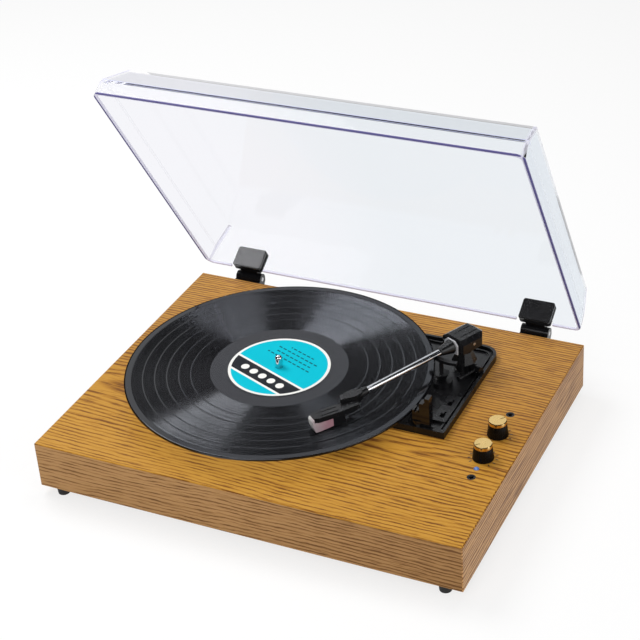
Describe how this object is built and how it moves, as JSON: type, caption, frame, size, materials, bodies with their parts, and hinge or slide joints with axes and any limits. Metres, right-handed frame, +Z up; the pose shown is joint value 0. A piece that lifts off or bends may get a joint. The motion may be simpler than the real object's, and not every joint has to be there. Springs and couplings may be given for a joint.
{
  "type": "record player",
  "caption": "Portable belt-drive record player: wood-look plinth, hinged clear cover, platter with record, straight tonearm with cue lever, knobs and jacks.",
  "frame": {"origin": "centre of the plinth's underside", "axes": "+X to the player's right, -Y to its front, +Z up"},
  "size_m": [0.43, 0.38, 0.3505],
  "materials": {
    "wood_laminate": "oak-look laminate, satin",
    "black_plastic": "fine satin",
    "base_board": "matt black board",
    "gloss_black": "high gloss",
    "hinge_plastic": "satin",
    "knob_plastic": "satin, fluted",
    "gold_cap": "brushed gold",
    "rubber_black": "matt",
    "felt": "felt",
    "chrome": "bright",
    "steel": "bright zinc",
    "grey_plastic": "satin",
    "brass": "turned",
    "vinyl": "grooved gloss",
    "label_paper": "printed cyan, plain",
    "clear_acrylic": "clear, faint lilac edges",
    "stylus_plastic": "translucent",
    "diamond": "polished",
    "circuit_board": "solder mask",
    "led": "diffused",
    "cone_paper": "pressed paper"
  },
  "bodies": {
    "case": {"plinth_case": "wood_laminate", "base_panel": "base_board", "feet": "rubber_black", "base_screws": "steel", "deck_plate": "black_plastic", "arm_rest": "gloss_black", "arm_column": "black_plastic", "lift_sleeve": "black_plastic", "bearing_bush": "brass", "motor_can": "steel", "drive_belt": "rubber_black", "speed_switch": "grey_plastic", "stop_switch": "grey_plastic", "amplifier_board": "circuit_board", "control_board": "circuit_board", "volume_pot": "steel", "source_switch": "steel", "line_in_jack": "black_plastic", "headphone_jack": "black_plastic", "power_led": "led", "socket_plate": "black_plastic", "rca_sockets": "brass", "dc_inlet": "black_plastic", "speaker_baskets": "steel", "speaker_cones": "cone_paper", "speaker_magnets": "steel", "hinge_brackets": "hinge_plastic", "hinge_screws": "steel", "hinge_pins": "steel"},
    "turntable": {"platter": "grey_plastic", "spindle": "chrome", "slip_mat": "felt", "record": "vinyl", "record_labels": "label_paper"},
    "motor_rotor": {"motor_shaft": "steel", "motor_pulley": "brass"},
    "arm_yoke": {"arm_housing": "black_plastic", "swing_shaft": "steel", "tilt_pins": "steel"},
    "arm": {"arm_socket": "black_plastic", "arm_face_plate": "grey_plastic", "arm_tube": "chrome", "counterweight": "steel", "headshell": "black_plastic", "cartridge": "black_plastic", "stylus_holder": "stylus_plastic", "stylus": "diamond", "contact_clip": "steel"},
    "lift": {"lift_platform": "black_plastic"},
    "lever": {"cue_lever": "black_plastic"},
    "speed_selector": {"speed_slider": "black_plastic"},
    "stop_selector": {"stop_slider": "black_plastic"},
    "volume_control": {"volume_shaft": "steel", "volume_knob": "knob_plastic", "volume_cap": "gold_cap"},
    "source_control": {"source_shaft": "steel", "source_knob": "knob_plastic", "source_cap": "gold_cap"},
    "cover": {"lid": "clear_acrylic", "hinge_leaves": "hinge_plastic"}
  },
  "joints": [
    {"name": "cover_hinge", "type": "hinge", "parent": "case", "child": "cover", "pos_m": [0, 0.177, 0.048], "axis": [1, 0, 0], "range_deg": [0, 58]},
    {"name": "platter_spin", "type": "hinge", "parent": "case", "child": "turntable", "pos_m": [-0.04, 0.004, 0.049], "axis": [0, 0, -1], "continuous": true},
    {"name": "motor_spin", "type": "hinge", "parent": "case", "child": "motor_rotor", "pos_m": [-0.11015, 0.0445, 0.049], "axis": [0, 0, -1], "continuous": true},
    {"name": "arm_swing", "type": "hinge", "parent": "case", "child": "arm_yoke", "pos_m": [0.12, 0.086, 0.069], "axis": [0, 0, 1], "range_deg": [-19, 25.7]},
    {"name": "arm_tilt", "type": "hinge", "parent": "arm_yoke", "child": "arm", "pos_m": [0.12, 0.086, 0.0855], "axis": [-0.9011, 0.4337, 0], "range_deg": [0, 2.4]},
    {"name": "cue_lever_turn", "type": "hinge", "parent": "case", "child": "lever", "pos_m": [0.1355, 0.079, 0.058], "axis": [-0.9063, 0.4226, 0], "range_deg": [0, 40]},
    {"name": "arm_lift_slide", "type": "slide", "parent": "case", "child": "lift", "axis": [0, 0, 1], "range_m": [0, 0.0015]},
    {"name": "speed_slide", "type": "slide", "parent": "case", "child": "speed_selector", "axis": [0, 1, 0], "range_m": [-0.0025, 0.0025]},
    {"name": "stop_slide", "type": "slide", "parent": "case", "child": "stop_selector", "axis": [0, 1, 0], "range_m": [-0.0025, 0.0025]},
    {"name": "volume_turn", "type": "hinge", "parent": "case", "child": "volume_control", "pos_m": [0.187, -0.042, 0.049], "axis": [0, 0, -1], "range_deg": [0, 270]},
    {"name": "source_turn", "type": "hinge", "parent": "case", "child": "source_control", "pos_m": [0.187, -0.004, 0.049], "axis": [0, 0, -1], "range_deg": [0, 60]}
  ],
  "couplings": [
    {"joint": "motor_spin", "follows": "platter_spin", "ratio": 14},
    {"joint": "cue_lever_turn", "follows": "arm_tilt", "ratio": 16.667},
    {"joint": "arm_lift_slide", "follows": "arm_tilt", "m_per_rad": 0.0355}
  ]
}
